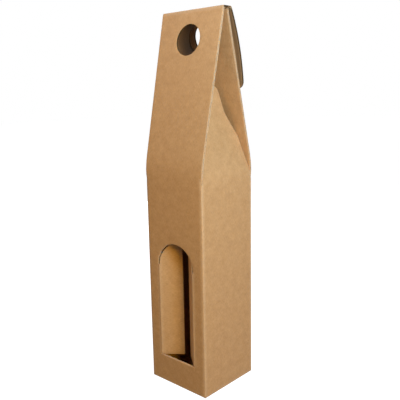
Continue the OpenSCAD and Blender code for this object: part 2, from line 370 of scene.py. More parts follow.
def chain(points, kinds):
    """Straight stretches through points and back to the first, each of its own kind."""
    ends = points[1:] + points[:1]
    return [item for a, b, kind in zip(points, ends, kinds) for item in line(a, b, kind)]


def stretches(*points, kind="cut"):
    """Straight stretches from the first point to the last, which is left out."""
    return [item for a, b in zip(points, points[1:]) for item in line(a, b, kind)]


def rounded(points, radii):
    """An open chain of straight stretches whose corners are rounded, from the first point to the last."""
    points = [np.array(point, float) for point in points]
    made, here = [], points[0]
    for before, corner, after, radius in zip(points, points[1:], points[2:], radii):
        came, goes = corner - before, after - corner
        came, goes = came / np.linalg.norm(came), goes / np.linalg.norm(goes)
        turn = math.atan2(came[0] * goes[1] - came[1] * goes[0], came @ goes)
        reach = radius * math.tan(abs(turn) / 2)
        start, side = corner - came * reach, math.copysign(1.0, turn)
        centre = start + side * radius * np.array([-came[1], came[0]])
        first = math.degrees(math.atan2(*(start - centre)[::-1]))
        made += line(here, start) + arc(centre, radius, first, first + math.degrees(turn))
        here = corner + goes * reach
    return made + line(here, points[-1])


print(len(stretches((0, 0), (BODY, 0))), "points along a cut as long as a wall is wide")

# %% The front: bottom flap, wall with window, roof with finger hole, ridge
HOLE_R = 17.0  # radius of a finger hole
HOLE_DROP = 32.5  # its middle lies this far below the ridge's front corner
WINDOW_FOOT = 32.0  # height of the window's sill
WINDOW_SPRING = 143.5  # height at which its arch starts
WINDOW_R = 27.5  # radius of the arch
FLAP_SIDE = 39.2  # half width of the first and last bottom flap
FLAP_TAPER = 3.0  # the first one narrows by this much on each side
FOLD_FOOT = FOLD_R - QUARTER  # where the lower fold ends and a bottom flap starts
ROOF_TOP = SHOULDER_Z + np.linalg.norm(front_rise) - 2 * (
    tangent(front_lean, SHOULDER_R) - SHOULDER_R * math.radians(front_lean) / 2)

front_edge = [
    (CORNER, TUBE_H), (HALF, TUBE_H + LET_GO), (RIDGE_HALF, ROOF_TOP), (RIDGE_HALF, front_path.top)]
front_outline = chain(
    [(-FLAP_SIDE + FLAP_TAPER, front_path.foot), (FLAP_SIDE - FLAP_TAPER, front_path.foot),
     (FLAP_SIDE, FOLD_FOOT), (CORNER, FOLD_FOOT)] + front_edge
    + [(-p, v) for p, v in reversed(front_edge)] + [(-CORNER, FOLD_FOOT), (-FLAP_SIDE, FOLD_FOOT)],
    ["cut"] * 3 + ["join", "cut", "cut", "open", "hinge", "open", "cut", "cut", "join"] + ["cut"] * 2)
front_hole_v = ROOF_TOP - HOLE_DROP
finger_hole = arc((0, front_hole_v), HOLE_R, 360, 0, "open")
lip_x = window_x + LIP
window = (
    line((lip_x, WINDOW_FOOT), (-lip_x, WINDOW_FOOT))
    + line((-lip_x, WINDOW_FOOT), (-lip_x, WINDOW_SPRING), "hinge")
    + line((-lip_x, WINDOW_SPRING), (-WINDOW_R, WINDOW_SPRING))
    + arc((0, WINDOW_SPRING), WINDOW_R, 180, 0)
    + line((WINDOW_R, WINDOW_SPRING), (lip_x, WINDOW_SPRING))
    + line((lip_x, WINDOW_SPRING), (lip_x, WINDOW_FOOT), "hinge"))
print(len(front_outline) + len(window) + len(finger_hole), "points round the front")

# %% The back with its finger hole
LOCK_HALF = 23.0  # half of the locking edge on the last bottom flap
LOCK_STEP = 24.0  # how far the last flap is full width
HOLE_DOWN = HOLE_DROP - BOARD  # the hole's middle, from the closure flap's fold
back_top = back_path.top
back_hole_v = back_top + GAP - HOLE_DOWN
step_v = FOLD_FOOT - (LOCK_STEP + BOARD - FOLD_R)
back_outline = chain(
    [(-LOCK_HALF, back_path.foot), (LOCK_HALF, back_path.foot), (FLAP_SIDE, step_v), (FLAP_SIDE, FOLD_FOOT),
     (HALF, FOLD_FOOT), (HALF, SHOULDER_Z), (RIDGE_HALF, back_top), (-RIDGE_HALF, back_top),
     (-HALF, TUBE_H + LET_GO), (-CORNER, TUBE_H), (-CORNER, FOLD_FOOT), (-FLAP_SIDE, FOLD_FOOT),
     (-FLAP_SIDE, step_v)],
    ["cut"] * 9 + ["join"] + ["cut"] * 3)
back_hole = arc((0, back_hole_v), HOLE_R, 360, 0, "open")
print(len(back_outline) + len(back_hole), "points round the back")

# %% A side flap, between the front and the back
FLAP_FOOT = 39.6  # half width of a side flap at its foot
FLAP_EVEN = 5.0  # it keeps that width to this far below the shoulder
FLAP_KNEE = (31.7, 288.0)  # half width and height where it stops following the back
FLAP_NECK = (17.3, 314.0)  # and where it stops narrowing quickly
FLAP_TOP = 13.5  # half width at its top edge
FLAP_ROUNDS = [0.2, 4, 20, 14, 22, 10]  # radii of its corners, from the foot up
FRONT_NICK, BACK_NICK = 0.3, 2.0  # how far the die cuts in where a corner fold ends
NICK_RISE = 0.6  # height of that cut
SEARCH = 800  # places tried when a height is looked for


def up_sheet(path, z):
    """Distance along the sheet at which a leaning panel reaches a height."""
    steps = np.linspace(TUBE_H, path.top, SEARCH)
    return float(np.interp(z, path.at(steps)[1], steps))


def half_flap(nick):
    """The right edge of a side flap, from the end of its corner fold up to the middle of its top."""
    return rounded(
        [(CORNER, TUBE_H), (CORNER - nick, TUBE_H + NICK_RISE), (FLAP_FOOT, TUBE_H + LET_GO),
         (FLAP_FOOT, up_sheet(side_path, SHOULDER_Z - FLAP_EVEN)),
         (FLAP_KNEE[0], up_sheet(side_path, FLAP_KNEE[1])),
         (FLAP_NECK[0], up_sheet(side_path, FLAP_NECK[1])), (FLAP_TOP, side_path.top), (0, side_path.top)],
        FLAP_ROUNDS)


def flap_top(back_on_right):
    """Both edges of a side flap, anticlockwise."""
    nicks = (BACK_NICK, FRONT_NICK) if back_on_right else (FRONT_NICK, BACK_NICK)
    right_edge, left_edge = (half_flap(nick) for nick in nicks)
    points = [(0, side_path.top)] + [(-p, v) for (p, v), kind in reversed(left_edge)]
    return right_edge + [(point, "cut") for point in points[:-1]]


print(len(flap_top(True)), "points round the top of a side flap")

# %% The two sides and the glued tab
SIDE_NEAR_FRONT = 31.0  # where a side bottom flap ends towards the front, from the middle
SIDE_NEAR_BACK = 14.8  # and towards the back
SIDE_TIP = 6.0  # its free edge ends here, and a slanting one goes on
SIDE_STUB = 4.0  # length of its edge beside the back
TAB = 21.0  # width of the glued tab
TAB_ROOT = 2.0  # it starts this far round its fold
TAB_SLOPE = 12.0  # how far its two ends slope
TAB_FOOT = 6.2  # height of its lower end
TAB_DROP = 1.2  # its upper end is this far below the top of the tube
TRIM = 0.1  # the side flap's own edge is kept, with this much room
side_lower = [(-SIDE_NEAR_FRONT, FOLD_FOOT), (-SIDE_NEAR_FRONT, side_path.foot), (-SIDE_TIP, side_path.foot),
              (SIDE_NEAR_BACK, FOLD_FOOT - SIDE_STUB), (SIDE_NEAR_BACK, FOLD_FOOT)]
side_join = line((CORNER, FOLD_FOOT), (CORNER, TUBE_H), "join")
right_outline = (
    stretches((-CORNER, FOLD_FOOT), *side_lower, (CORNER, FOLD_FOOT)) + side_join + flap_top(True)
    + line((-CORNER, TUBE_H), (-CORNER, FOLD_FOOT), "join"))
tab_root = TAB_FLAT + TAB_ROOT
tab_end = TAB_FLAT + QUARTER + TAB
left_lower = [(-p, v) for p, v in reversed(side_lower)]
left_top = [(point, kind) for point, kind in flap_top(False) if point[0] > -FLAP_FOOT - TRIM]
left_outline = (
    stretches((-tab_root, FOLD_FOOT), *left_lower, (CORNER, FOLD_FOOT)) + side_join + left_top
    + stretches((-FLAP_FOOT, TUBE_H), (-tab_root, TUBE_H - TAB_DROP), (-tab_end, TUBE_H - TAB_SLOPE),
                (-tab_end, TAB_FOOT + TAB_SLOPE), (-tab_root, TAB_FOOT), (-tab_root, FOLD_FOOT)))
print(f"the tab reaches {tab_end:.1f} mm from the middle of the left wall")

# %% [markdown]
# ## From outline to board
#
# The flat region inside an outline is filled with triangles by a constrained Delaunay triangulation:
# it keeps every outline edge and uses a grid of points in between, with more rows where the sheet
# bends. The same triangles serve both faces, outer liner and inner liner. Between them goes the cut
# edge. The die crushes it a little, so the liners dip there, and it is left as a shallow channel
# between two liner edges, where the fluted middle of the board will show. On the closure flap, the
# ends of the ridge, the finger holes and the free edges of the window flaps it wasn't crushed: there
# the cut is open, the channel is made deeper, and the whole cut takes the fluted paper's dark finish,
# which is painted shade of the hollows between the liners.

# %% Inside, inwards and nearest
ACROSS = 3.6  # spacing of points across a panel
ALONG = 3.6  # and along it
RING = 0.8  # distance of the first row of points inside the outline
RING_CLEAR, GRID_CLEAR = 0.75 * RING, 1.6 * RING  # how far those points, and the grid's, keep off it
MITRE = 0.45  # keeps offsets at a sharp corner from growing too long
BATCH = 400  # points that are measured at a time


def spots_of(loop):
    """The points of an outline."""
    return np.array([point for point, kind in loop])


def inside(points, loops):
    """Which points lie inside the outlines, holes left out."""
    hit = np.zeros(len(points), bool)
    for loop in loops:
        a = spots_of(loop)
        b = np.roll(a, -1, axis=0)
        for (ax, ay), (bx, by) in zip(a, b):
            if ay == by:
                continue
            spans = (points[:, 1] < ay) != (points[:, 1] < by)
            hit ^= spans & (points[:, 0] < ax + (points[:, 1] - ay) * (bx - ax) / (by - ay))
    return hit


def inward(loop):
    """For each outline point, the direction into the board, longer at corners so that offsets fit."""
    a = spots_of(loop)
    step = np.roll(a, -1, axis=0) - a
    step /= np.linalg.norm(step, axis=1)[:, None]
    side = np.stack([-step[:, 1], step[:, 0]], axis=1)
    both = side + np.roll(side, 1, axis=0)
    return both / np.maximum((both ** 2).sum(1) / 2, MITRE)[:, None]


def nearest(points, others):
    """Distance from each point to the closest of others."""
    return np.concatenate([
        np.sqrt(((part[:, None, :] - others[None]) ** 2).sum(2).min(1))
        for part in np.array_split(points, max(1, len(points) // BATCH))])


middle = np.array([(0.0, TUBE_H / 2)])
print("the middle of the front's wall is inside its outline:", inside(middle, [front_outline])[0])

# %% Fill an outline with triangles
MERGE = 1e-6  # points closer than this are one


def fill(loops, across, along):
    """Points and triangles of the region inside the loops; outline points come first."""
    border = np.concatenate([spots_of(loop) for loop in loops])
    offset = np.concatenate([spots_of(loop) + RING * inward(loop) for loop in loops])
    offset = offset[inside(offset, loops)]
    offset = offset[nearest(offset, border) > RING_CLEAR]
    grid = np.stack(np.meshgrid(across, along), axis=-1).reshape(-1, 2)
    grid = grid[inside(grid, loops)]
    grid = grid[nearest(grid, border) > GRID_CLEAR]
    points = np.concatenate([border, offset, grid])
    edges, first = [], 0
    for loop in loops:
        count = len(loop)
        edges += [(first + k, first + (k + 1) % count) for k in range(count)]
        first += count
    made = delaunay_2d_cdt([Vector(point) for point in points], edges, [], 0, MERGE)
    spots = np.array([tuple(point) for point in made[0]])
    source = np.array([ids[0] if ids else -1 for ids in made[3]])
    triangles = np.array([face for face in made[2]])
    middles = spots[triangles].mean(axis=1)
    triangles = source[triangles[inside(middles, loops)]]
    return points, triangles[(triangles >= 0).all(1)]


print(f"panels are filled with a grid of {ACROSS} by {ALONG} mm")

# %% A piece of board, and what its cut edge is made of
LINER = 0.32  # thickness of a liner, seen at a cut
CRUSH = 0.14  # how far the die presses a liner in at a cut
CHANNEL = 0.55  # depth of the channel between the liners, at a crushed cut
HOLLOW_CUT = 2.4  # and at an open cut
HOLLOW = 2.65  # how far the inner liner stays back from a hinged flap's fold line
CUT_DEPTHS = [CRUSH] + [CRUSH + LINER] * 2 + [BOARD - CRUSH - LINER] * 2 + [BOARD - CRUSH]
CUT_SHARES = [0, 0, 1, 1, 0, 0]  # share of the channel's depth at each of these
HINGE_ROWS = [(0, 0), (0.28, 0), (0.35, 1.7), (1.0, 2.2), (1.6, 2.5), (BOARD, HOLLOW)]  # depth, set back
OUTER, INNER, EDGE, FLUTE = range(4)
# an open cut gets the dark fluted-paper finish on all its faces, as painted shade of its hollows
CUTS = {"cut": [EDGE, EDGE, FLUTE, EDGE, EDGE], "open": [FLUTE] * 5}
HINGES = {"hinge": [EDGE] * (len(HINGE_ROWS) - 1)}


class Board:
    """Collects the vertices, faces and surface data of one piece of board."""

    def __init__(self):
        self.points, self.blank, self.wear, self.rim, self.painted_shade = [], [], [], [], []
        self.faces, self.finish = [], []

    def add(self, panel, p, v, h, rim=0.0):
        """Adds points to the piece and returns the number of the first."""
        first = len(self.points)
        p, v, h, rim = alike(p, v, h, rim)
        self.points += panel.fold(p, v, h).tolist()
        self.blank += np.stack([p + panel.column, v, h], axis=-1).tolist()
        self.wear += panel.wear(p, v).tolist()
        self.rim += rim.tolist()
        self.painted_shade += panel.painted_shade(p, v).tolist()
        return first

    def face(self, corners, finish):
        self.faces.append([int(c) for c in corners])
        self.finish.append(finish)

    def strip(self, panel, p, v, into, h, recess, rim, kinds, finishes):
        """Faces between rows that follow an outline, at depths h and set back by recess.

        finishes holds the faces' finishes for each kind of edge that gets this strip.
        """
        rows = [self.add(panel, p + into[:, 0] * back_by, v + into[:, 1] * back_by, depth, rim)
                for depth, back_by in zip(h, recess)]
        count = len(p)
        for k in range(count):
            m = (k + 1) % count
            for j, finish in enumerate(finishes.get(kinds[k], [])):
                self.face((rows[j] + k, rows[j + 1] + k, rows[j + 1] + m, rows[j] + m), finish)


print(len(CUT_DEPTHS), "rows of points across a cut edge,", len(HINGE_ROWS), "across a hinge")

# %% Build the two faces and the edges of a panel
HOLLOW_FADE = 8.0  # distance over which the inner liner comes back to its place
TOUCH = 1e-3  # points this close to a fold line lie on it


def pull_back(panel, p, v):
    """Moves inner-liner points away from the fold lines of hinged flaps."""
    for axis, at, way, start, end in panel.hinges:
        here, other = (p, v) if axis == "p" else (v, p)
        gap = (here - at) * way
        push = HOLLOW * np.clip(1 - gap / HOLLOW_FADE, 0, 1) * (gap > -TOUCH)
        push = push * ((other > start - TOUCH) & (other < end + TOUCH))
        p, v = (p + push * way, v) if axis == "p" else (p, v + push * way)
    return p, v


def board_from(board, panel, loops, columns):
    """Adds one panel of board to a piece."""
    points, triangles = fill(loops, columns, panel.path.rows(ALONG))
    kinds = [kind for loop in loops for point, kind in loop]
    count = len(kinds)
    crush = np.zeros(len(points))
    rim = np.zeros(len(points))
    into = np.concatenate([inward(loop) for loop in loops])
    before = np.array([loop[k - 1][1] for loop in loops for k in range(len(loop))])
    is_cut = np.array([a in CUTS or b in CUTS for a, b in zip(kinds, before)])
    is_open = np.array([a == b == "open" for a, b in zip(kinds, before)])
    channel = np.where(is_open, HOLLOW_CUT, CHANNEL)
    crush[:count] = np.where(is_cut, CRUSH, 0.0)
    crushed = np.where(is_open, 0.0, 1.0)
    rim[:count] = np.where(is_cut, crushed, 0.0)
    p, v = points[:, 0], points[:, 1]
    outer = board.add(panel, p, v, crush, rim)
    p_in, v_in = pull_back(panel, p, v)
    inner = board.add(panel, p_in, v_in, BOARD - crush, rim)
    for a, b, c in triangles:
        board.face((outer + a, outer + b, outer + c), OUTER)
        board.face((inner + c, inner + b, inner + a), INNER)
    first = 0
    for loop in loops:
        size = len(loop)
        span = slice(first, first + size)
        labels = kinds[span]
        backs = [share * channel[span] for share in CUT_SHARES]
        board.strip(panel, p[span], v[span], into[span], CUT_DEPTHS, backs, crushed[span], labels, CUTS)
        depths, backs = zip(*HINGE_ROWS)
        board.strip(panel, p[span], v[span], into[span], depths, backs, 1.0, labels, HINGES)
        first += size


print(f"the inner liner is {HOLLOW} mm short of a hinge and in its place from {HOLLOW_FADE} mm on")

# %% [markdown]
# ## Flutes
#
# Seen at a cut, the middle of the board is a wave of paper between the liners. The flutes run up the
# box, so a cut across them shows the wave and a cut along them shows a straight line. The same
# formula gives both: the wave's depth depends only on the place across the blank. A texture could
# draw the wave as well, but an open cut shows the hollows behind it, so here it is real paper.

# %% The wave of paper in a cut edge
PITCH = 5.8  # distance between two flutes
PAPER = 0.26  # thickness of the fluted paper
WAVE = BOARD / 2 - CRUSH - LINER - PAPER / 2
FLUTE_STEP = 0.75  # spacing of points along the wave
SET_BACK = {"cut": 0.12, "open": 1.0}  # how far the wave stays behind a crushed and an open cut


def flutes(board, panel, loops):
    """Adds the fluted paper along every cut stretch of the outlines."""
    for loop in loops:
        spots = spots_of(loop)
        into = inward(loop)
        for k, (point, kind) in enumerate(loop):
            if kind not in CUTS:
                continue
            far, rim = (CHANNEL, 1.0) if kind == "cut" else (HOLLOW_CUT, 0.0)
            near = SET_BACK[kind]
            m = (k + 1) % len(loop)
            parts = max(1, math.ceil(np.linalg.norm(spots[m] - spots[k]) / FLUTE_STEP))
            share = np.linspace(0, 1, parts + 1)[:, None]
            at = spots[k] + (spots[m] - spots[k]) * share
            way = into[k] + (into[m] - into[k]) * share
            mid = BOARD / 2 + WAVE * np.sin(2 * math.pi * (at[:, 0] + panel.column) / PITCH)
            rows = [board.add(panel, at[:, 0] + way[:, 0] * back_by, at[:, 1] + way[:, 1] * back_by,
                              mid + side * PAPER / 2, rim)
                    for side, back_by in ((-1, far), (-1, near), (1, near), (1, far))]
            for j in range(3):
                for i in range(parts):
                    board.face((rows[j] + i, rows[j + 1] + i, rows[j + 1] + i + 1, rows[j] + i + 1), FLUTE)


print(f"{COLUMN / PITCH:.1f} flutes across a wall, {2 * WAVE + PAPER:.2f} mm high")

# %% [markdown]
# ## Creases, hinges and painted shade
#
# Each panel is now told where its creases are, where a flap is hinged to it, and where painted shade
# darkens it. The painted shade lies to the left of the finger hole's middle, where less light reaches
# inside. All this could be painted by hand, but as lines on the blank it moves with the folds when a size
# changes.

# %% What each panel has on it
SHADE_OFFSET = 9.0  # how far off the hole's middle the painted shade is
CREASE_END = 8.0  # a corner crease shows up to this far above the tube
BEYOND = 60.0  # past both ends of the ridge
front.hole_v, front.grip_p = front_hole_v, -SHADE_OFFSET
back.hole_v, back.grip_p = back_hole_v, SHADE_OFFSET
ridge_mid = front_path.starts[-1] - FOLD_R * math.radians(ridge_turn) / 2
upright = [("p", side * CORNER, FOLD_FOOT, TUBE_H + CREASE_END) for side in (-1, 1)]
lower = [("v", FOLD_R - QUARTER / 2, -CORNER, CORNER)]
front.creases = upright + lower + [("v", ridge_mid, -BEYOND, BEYOND)] + [
    ("p", side * lip_x, WINDOW_FOOT, WINDOW_SPRING) for side in (-1, 1)]
right.creases = upright + lower
back.creases = upright[:1] + lower
left.creases = upright[1:] + lower
front.hinges = [("p", side * lip_x, side, WINDOW_FOOT, WINDOW_SPRING) for side in (1, -1)] + [
    ("v", front_path.top, -1, -BEYOND, BEYOND)]
print("creases on front, right, back and left:", [len(panel.creases) for panel in (front, right, back, left)])

# %% The carton's mesh
FOLD_STEP = 0.3  # spacing of points across a corner fold


def across(panel):
    """Places across a panel: even on the flat, closer in a fold."""
    flat = min(panel.flat)
    even = np.linspace(-flat, flat, 2 * math.ceil(flat / ACROSS) + 1)
    folds = flat + np.arange(FOLD_STEP, RIDGE_HALF - flat, FOLD_STEP)
    tab = np.arange(RIDGE_HALF, tab_end, ACROSS) if panel is left else np.array([])
    return np.concatenate([-tab, -folds[::-1], even, folds])


carton = Board()
layout = [(front, [front_outline, window, finger_hole]), (right, [right_outline]),
          (back, [back_outline, back_hole]), (left, [left_outline])]
for panel, loops in layout:
    board_from(carton, panel, loops, across(panel))
    flutes(carton, panel, loops)
print(f"carton: {len(carton.points)} points and {len(carton.faces)} faces before welding")

# %% [markdown]
# ## Into Blender
#
# A Board is still only lists. This cell turns one into a mesh: it welds the panels where they share a
# corner fold, drops the points that nothing uses, stores wear, rim, the painted shade and the place on
# the blank as attributes for the materials, and shades the mesh smooth, apart from edges that are really
# sharp.
# The weld is a modifier whose result is kept at once, because plain meshes are easier to hand on.

# %% Make an object from a Board
WELD = 0.02 * MM  # points closer than this become one
SHARP = math.radians(38)  # edges that turn by more than this stay sharp


def placed(name, data):
    """A new object in the scene."""
    obj = bpy.data.objects.new(name, data)
    bpy.context.scene.collection.objects.link(obj)
    return obj


def to_object(board, name):
    """A Blender object with the board's faces, finishes and attributes."""
    mesh = bpy.data.meshes.new(name)
    used = np.unique([corner for face in board.faces for corner in face])
    number = np.full(len(board.points), -1)
    number[used] = np.arange(len(used))
    faces = [[int(number[corner]) for corner in face] for face in board.faces]
    mesh.from_pydata((np.array(board.points)[used] * MM).tolist(), [], faces)
    mesh.polygons.foreach_set("material_index", board.finish)
    # the painted shade goes to the materials with wear and rim
    for label, values in {"wear": board.wear, "rim": board.rim, "painted_shade": board.painted_shade}.items():
        layer = mesh.attributes.new(label, "FLOAT", "POINT")
        layer.data.foreach_set("value", np.array(values, np.float32)[used])
    layer = mesh.attributes.new("blank", "FLOAT_VECTOR", "POINT")
    layer.data.foreach_set("vector", (np.array(board.blank, np.float32)[used] * MM).ravel())
    mesh.update()
    obj = placed(name, mesh)
    weld = obj.modifiers.new("weld", "WELD")
    weld.merge_threshold = WELD
    solid = bpy.data.meshes.new_from_object(obj.evaluated_get(bpy.context.evaluated_depsgraph_get()))
    obj.modifiers.clear()
    obj.data = solid
    solid.name = name
    solid.shade_smooth()
    solid.set_sharp_from_angle(angle=SHARP)
    return obj


carton_board = to_object(carton, "carton_board")
print("carton_board:", len(carton_board.data.polygons), "faces after welding")

# %% [markdown]
# ## The three flaps that swing
#
# The closure flap hangs from the ridge, and the two window flaps are the halves that the die cut from
# the window. Each turns on its fold. The fold is round, centred on the board's inner face, so that it
# looks the same at every angle. A flap is a panel too: its path is the round fold and then a straight run.
# Joined to the carton's mesh it would tear when it swings, so each flap is an object of its own.

# %% A flap on a fold
KNUCKLE = 120.0  # how far round the fold goes, in degrees
KNUCKLE_SKIN = 0.85  # the fold is hollow near its axis
KNUCKLE_ROWS = 13  # rows of points round the fold
FLAP_CREASE = -1.0  # where the fold is worn most
CLOSURE_LEN = 85.0  # length of the closure flap, which is the longest


class Flap(Surface):
    """A panel that hangs on a round fold; v is below zero on the fold."""

    creases = [("v", FLAP_CREASE, -np.inf, np.inf)]
    spring = sag = 0.0

    def __init__(self, axis, along, away, column):
        """axis is a point of the fold line, along its direction, away the flap's own direction."""
        self.axis, self.along, self.away = (np.array(a, float) for a in (axis, along, away))
        self.out = np.cross(self.along, self.away)
        self.column = column
        self.arc = BOARD * math.radians(KNUCKLE)
        self.path = self

    def rows(self, step):
        """Distances at which the flap gets a row of points."""
        fold = np.linspace(-self.arc, 0, KNUCKLE_ROWS)
        return np.concatenate([fold, np.arange(step, CLOSURE_LEN, step)])

    def fold(self, p, v, h):
        """Where points h inside the outer face lie, as rows of x, y, z in millimetres."""
        p, v, h = alike(p, v, h)
        angle = np.minimum(v, 0.0) / BOARD
        radius = BOARD - np.where(v < 0, h * KNUCKLE_SKIN, h)
        run_out = np.maximum(v, 0.0)
        out, down = radius * np.cos(angle) + self.bow(run_out), radius * np.sin(angle) + run_out
        return self.axis + p[..., None] * self.along + out[..., None] * self.out + down[..., None] * self.away

    def bow(self, run_out):
        """How far the flap bulges outwards: it springs up from its fold and bends back to its tip."""
        return self.spring * run_out - self.sag * run_out ** 2


print(f"a round fold takes {BOARD * math.radians(KNUCKLE):.2f} mm of sheet")

# %% The object of a flap


def flap_object(name, flap, loops, reach):
    """The Blender object of one flap, whose points across lie within reach."""
    piece = Board()
    count = math.ceil((reach[1] - reach[0]) / ACROSS) + 1
    board_from(piece, flap, loops, np.linspace(*reach, count))
    flutes(piece, flap, loops)
    obj = to_object(piece, name)
    print(name, "has", len(obj.data.polygons), "faces")
    return obj


# %% The closure flap
CLOSURE_STAND = 3.0  # degrees that it stands off the back's lean
CLOSURE_ROUND = 8.0  # radius of its corners
CLOSURE_TIP = 43.5  # half width at its tip
EDGE_SHADE_WIDTH = 9.5  # painted shade darkens its side edges over this width
closure_lean = math.radians(back_lean + CLOSURE_STAND)
closure_down = (0.0, math.sin(closure_lean), -math.cos(closure_lean))
closure = Flap((0, closure_y, closure_z), (1, 0, 0), closure_down, 0.0)
closure.spring, closure.sag = 0.137, 0.00217  # slope at the fold, and how it bends back
# painted shade round the closure flap's hole and along its side edges
closure.hole_v, closure.grip_p, closure.grip_edge = HOLE_DOWN, -SHADE_OFFSET, RIDGE_HALF - EDGE_SHADE_WIDTH
closure.soiling = 0.62  # share of the painted shade on the closure flap, less than on the roof panels
tip = CLOSURE_TIP - CLOSURE_ROUND
tip_v = CLOSURE_LEN - CLOSURE_ROUND
closure_outline = (
    line((-RIDGE_HALF, -closure.arc), (RIDGE_HALF, -closure.arc))
    + stretches((RIDGE_HALF, -closure.arc), (RIDGE_HALF, 0), (CLOSURE_TIP, tip_v), kind="open")
    + arc((tip, tip_v), CLOSURE_ROUND, 0, 90, "open")
    + line((tip, CLOSURE_LEN), (-tip, CLOSURE_LEN), "open")
    + arc((-tip, tip_v), CLOSURE_ROUND, 90, 180, "open")
    + stretches((-CLOSURE_TIP, tip_v), (-RIDGE_HALF, 0), (-RIDGE_HALF, -closure.arc), kind="open"))
closure_hole = arc((0, HOLE_DOWN), HOLE_R, 360, 0, "open")
closure_board = flap_object(
    "closure_flap_board", closure, [closure_outline, closure_hole], (-RIDGE_HALF, RIDGE_HALF))

# %% The two window flaps
WINDOW_OPEN = 39.0  # degrees that they are folded in
WINDOW_NICK = 0.6  # their upper corner starts this far back on the fold
WINDOW_COLUMN = 120.0  # where their grain lies on the blank
ARCH_POINTS = 18
ARCH_R = WINDOW_R - GAP
flap_foot = WINDOW_FOOT + GAP
flap_side = WINDOW_SPRING - GAP
flap_width = window_x - GAP / 2


def window_flap(side):
    """side is -1 for the left flap and 1 for the right one; p runs up, v across from the fold."""
    turn = math.radians(WINDOW_OPEN)
    away = (-side * math.cos(turn), math.sin(turn), 0)
    axis = (side * window_x, fold_axis["right_window_flap"][1], 0)
    flap = Flap(axis, (0, 0, side), away, WINDOW_COLUMN * side)
    root, end = (math.acos(x / ARCH_R) for x in (window_x, window_x - flap_width))
    arch = [(WINDOW_SPRING + ARCH_R * math.sin(a), window_x - ARCH_R * math.cos(a))
            for a in np.linspace(root, end, ARCH_POINTS)]
    corners = [(flap_foot, -flap.arc), (flap_side, -flap.arc), (flap_side, -WINDOW_NICK)]
    corners += arch + [(flap_foot, flap_width)]
    kinds = ["cut"] * (len(corners) - 2) + ["open", "cut"]
    if side < 0:
        corners = [(-u, w) for u, w in reversed(corners)]
        kinds = ["open"] + ["cut"] * (len(corners) - 1)
    return flap, chain(corners, kinds)


window_boards = {}
for side, label in ((-1, "left"), (1, "right")):
    flap, loop = window_flap(side)
    heights = [u for (u, w), kind in loop]
    reach = (min(heights), max(heights))
    window_boards[label] = flap_object(f"{label}_window_flap_board", flap, [loop], reach)

# %% [markdown]
# ## Kraft paper
#
# Kraft board is made of long brown fibres. Close up, the liner shows darker and paler fibres that lie
# mostly along the sheet, a cloudy mottle from the paper machine, a few dark specks, and a faint
# washboard where it bridges the flutes. All of these are used by several finishes, so they are one
# node group, which reads the place on the blank and gives a shade, specks and a height. A scan of
# real paper would do for one size of picture, but noise has no seams and is sharp at any distance.

# %% Helpers for node trees
NODE_STEP = 220  # nodes stand in a row, this far apart


def add_node(tree, kind, inputs=None, **settings):
    """A node of a kind, with settings and the values or links of its inputs."""
    made = tree.nodes.new(kind)
    made.location = (NODE_STEP * len(tree.nodes), 0)
    for key, value in settings.items():
        setattr(made, key, value)
    for key, value in (inputs or {}).items():
        if isinstance(value, bpy.types.NodeSocket):
            tree.links.new(value, made.inputs[key])
        else:
            made.inputs[key].default_value = value
    return made


def new_group(name, takes, gives):
    """An empty shader node group with named sockets."""
    tree = bpy.data.node_groups.new(name, "ShaderNodeTree")
    for label, kind, value in takes:
        socket = tree.interface.new_socket(label, in_out="INPUT", socket_type=kind)
        if value is not None:
            socket.default_value = value
    for label, kind in gives:
        tree.interface.new_socket(label, in_out="OUTPUT", socket_type=kind)
    return tree, tree.nodes.new("NodeGroupInput"), tree.nodes.new("NodeGroupOutput")


def math_node(tree, operation, a, b=0.5, clamp=False):
    """The result of one sum."""
    made = add_node(tree, "ShaderNodeMath", {0: a, 1: b}, operation=operation, use_clamp=clamp)
    return made.outputs[0]


def remap(tree, value, old, new):
    """A value, with its range old stretched to the range new."""
    ends = {0: value, 1: old[0], 2: old[1], 3: new[0], 4: new[1]}
    return add_node(tree, "ShaderNodeMapRange", ends).outputs[0]


def blend_over(tree, share, under, over):
    """The colour under, with the plain colour over laid on it by a share."""
    made = add_node(tree, "ShaderNodeMix", {0: share, 6: under, 7: (*over, 1.0)}, data_type="RGBA")
    return made.outputs[2]


def bare_tree(owner):
    """The emptied node tree of a material or a world."""
    owner.use_nodes = True
    owner.node_tree.nodes.clear()
    return owner.node_tree


print("nodes will stand in rows,", NODE_STEP, "units apart")

# %% The fibre group
FLOAT, VECTOR = "NodeSocketFloat", "NodeSocketVector"
fibre, fibre_in, fibre_out = new_group(
    "kraft_fibre", [("Blank", VECTOR, None), ("Washboard", FLOAT, 1.0)],
    [("Shade", FLOAT), ("Specks", FLOAT), ("Height", FLOAT)])
on_blank = fibre_in.outputs["Blank"]
STRETCH = (1900.0, 330.0, 900.0)  # fibres are long up the sheet and fine across it
stretch = add_node(fibre, "ShaderNodeVectorMath", {0: on_blank, 1: STRETCH}, operation="MULTIPLY")
strands = add_node(fibre, "ShaderNodeTexNoise",
                   inputs={"Vector": stretch.outputs[0], "Scale": 1.0, "Detail": 4.0, "Roughness": 0.62})
cloud = add_node(fibre, "ShaderNodeTexNoise",
                 inputs={"Vector": on_blank, "Scale": 110.0, "Detail": 7.0, "Roughness": 0.72})
speck = add_node(fibre, "ShaderNodeTexNoise",
                 inputs={"Vector": stretch.outputs[0], "Scale": 0.55, "Detail": 2.0, "Roughness": 0.5})
dark = remap(fibre, speck.outputs["Fac"], (0.66, 0.78), (0.0, 1.0))
across_blank = add_node(fibre, "ShaderNodeSeparateXYZ", inputs={0: on_blank})
phase = math_node(fibre, "MULTIPLY", across_blank.outputs[0], 2 * math.pi / (PITCH * MM))
ripple = math_node(fibre, "SINE", phase)
ripple = math_node(fibre, "MULTIPLY", ripple, fibre_in.outputs["Washboard"])
